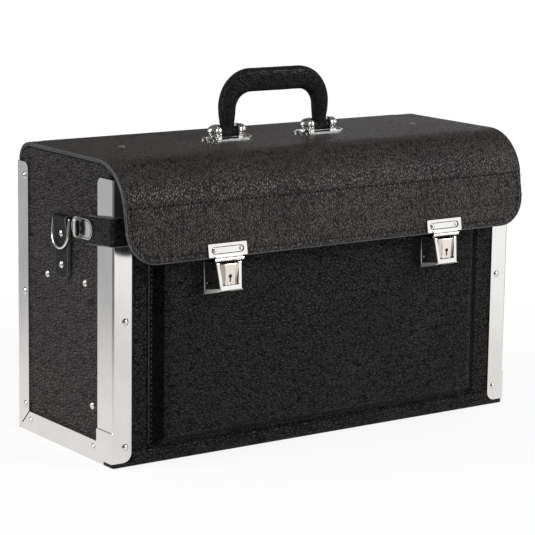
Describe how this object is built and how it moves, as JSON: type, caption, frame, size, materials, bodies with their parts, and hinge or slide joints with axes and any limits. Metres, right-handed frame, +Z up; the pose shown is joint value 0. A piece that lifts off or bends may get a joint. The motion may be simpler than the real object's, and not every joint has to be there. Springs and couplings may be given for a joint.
{
  "type": "tool bag",
  "caption": "Rigid leather tool bag with aluminium corner profiles, front flap with tuck locks, front pocket, hinged handle, side rings and turn-lock corner straps.",
  "frame": {"origin": "middle of the bag's box, on the surface it stands on", "axes": "+X to the right seen from the front, +Y to the rear, +Z up; the flap and locks face -Y"},
  "size_m": [0.4474, 0.1955, 0.322],
  "materials": {
    "case_leather": "pebble grain, semi-matt",
    "lid_leather": "pebble grain, semi-matt",
    "lining": "smooth black lining",
    "board": "covered board",
    "profile": "satin",
    "chrome": "polished",
    "nickel": "polished",
    "steel": "plain",
    "thumb_plate": "satin",
    "strap_leather": "smooth, semi-matt",
    "grip_leather": "smooth, semi-matt"
  },
  "bodies": {
    "case": {"front_wall": "case_leather", "rear_wall": "case_leather", "side_wall_left": "case_leather", "side_wall_right": "case_leather", "base_panel": "case_leather", "base_roll_front": "case_leather", "base_roll_rear": "case_leather", "front_pocket": "case_leather", "corner_profile_front_left": "profile", "corner_profile_front_right": "profile", "corner_profile_rear_left": "profile", "corner_profile_rear_right": "profile", "base_profile_left": "profile", "base_profile_right": "profile", "profile_rivets": "nickel", "side_rivets": "nickel", "strap_rivets": "nickel", "side_plates": "steel", "ring_tab_left": "strap_leather", "ring_tab_right": "strap_leather", "tool_board": "board", "tool_pocket": "lining", "board_clips": "steel", "strap_root_left": "strap_leather", "strap_root_right": "strap_leather", "turn_base_left": "chrome", "turn_base_right": "chrome", "lock_housing_left": "chrome", "lock_housing_right": "chrome", "lock_back_plates": "steel", "catch_pins": "steel", "lock_rivets": "steel", "lock_spring_left": "steel", "lock_spring_right": "steel"},
    "lid": {"lid_cover": "lid_leather", "lid_lining": "lining", "lid_board": "board", "lid_rivets": "nickel", "handle_bracket_left": "chrome", "handle_bracket_right": "chrome", "handle_pins": "chrome", "hasp_left": "chrome", "hasp_right": "chrome", "hasp_back_plates": "steel"},
    "handle": {"handle_grip": "grip_leather"},
    "ring_left": {"d_ring_left": "chrome"},
    "button_left": {"lock_button_left": "thumb_plate"},
    "catch_left": {"lock_catch_left": "steel"},
    "strap_left": {"strap_end_left": "strap_leather", "eyelet_plate_left": "chrome"},
    "knob_left": {"turn_knob_left": "chrome"},
    "ring_right": {"d_ring_right": "chrome"},
    "button_right": {"lock_button_right": "thumb_plate"},
    "catch_right": {"lock_catch_right": "steel"},
    "strap_right": {"strap_end_right": "strap_leather", "eyelet_plate_right": "chrome"},
    "knob_right": {"turn_knob_right": "chrome"}
  },
  "joints": [
    {"name": "lid_hinge", "type": "hinge", "parent": "case", "child": "lid", "pos_m": [0, 0.0965, 0.2422], "axis": [-1, 0, 0], "range_deg": [0, 105]},
    {"name": "handle_swing", "type": "hinge", "parent": "lid", "child": "handle", "pos_m": [0, 0.0107, 0.2665], "axis": [1, 0, 0], "range_deg": [-80, 80]},
    {"name": "ring_left_swing", "type": "hinge", "parent": "case", "child": "ring_left", "pos_m": [-0.2169, 0.0147, 0.2025], "axis": [0, 1, 0], "range_deg": [0, 150]},
    {"name": "button_left_press", "type": "slide", "parent": "case", "child": "button_left", "axis": [0, 0, -1], "range_m": [0, 0.003], "stiffness_N_per_m": 400, "springref_m": -0.003, "deforming": ["lock_spring_left"]},
    {"name": "catch_left_turn", "type": "hinge", "parent": "case", "child": "catch_left", "pos_m": [-0.1176, -0.079, 0.1528], "axis": [1, 0, 0], "range_deg": [-8.6, 0]},
    {"name": "strap_left_open", "type": "hinge", "parent": "case", "child": "strap_left", "pos_m": [-0.2175, -0.0669, 0.19925], "axis": [0, 0, 1], "range_deg": [0, 85]},
    {"name": "knob_left_turn", "type": "hinge", "parent": "case", "child": "knob_left", "pos_m": [-0.22, -0.018, 0.19925], "axis": [-1, 0, 0], "range_deg": [0, 90]},
    {"name": "ring_right_swing", "type": "hinge", "parent": "case", "child": "ring_right", "pos_m": [0.2169, 0.0147, 0.2025], "axis": [0, -1, 0], "range_deg": [0, 150]},
    {"name": "button_right_press", "type": "slide", "parent": "case", "child": "button_right", "axis": [0, 0, -1], "range_m": [0, 0.003], "stiffness_N_per_m": 400, "springref_m": -0.003, "deforming": ["lock_spring_right"]},
    {"name": "catch_right_turn", "type": "hinge", "parent": "case", "child": "catch_right", "pos_m": [0.1176, -0.079, 0.1528], "axis": [1, 0, 0], "range_deg": [-8.6, 0]},
    {"name": "strap_right_open", "type": "hinge", "parent": "case", "child": "strap_right", "pos_m": [0.2175, -0.0669, 0.19925], "axis": [0, 0, -1], "range_deg": [0, 85]},
    {"name": "knob_right_turn", "type": "hinge", "parent": "case", "child": "knob_right", "pos_m": [0.22, -0.018, 0.19925], "axis": [1, 0, 0], "range_deg": [0, 90]}
  ],
  "couplings": [
    {"joint": "catch_left_turn", "follows": "button_left_press", "rad_per_m": -49.4},
    {"joint": "catch_right_turn", "follows": "button_right_press", "rad_per_m": -49.4}
  ]
}
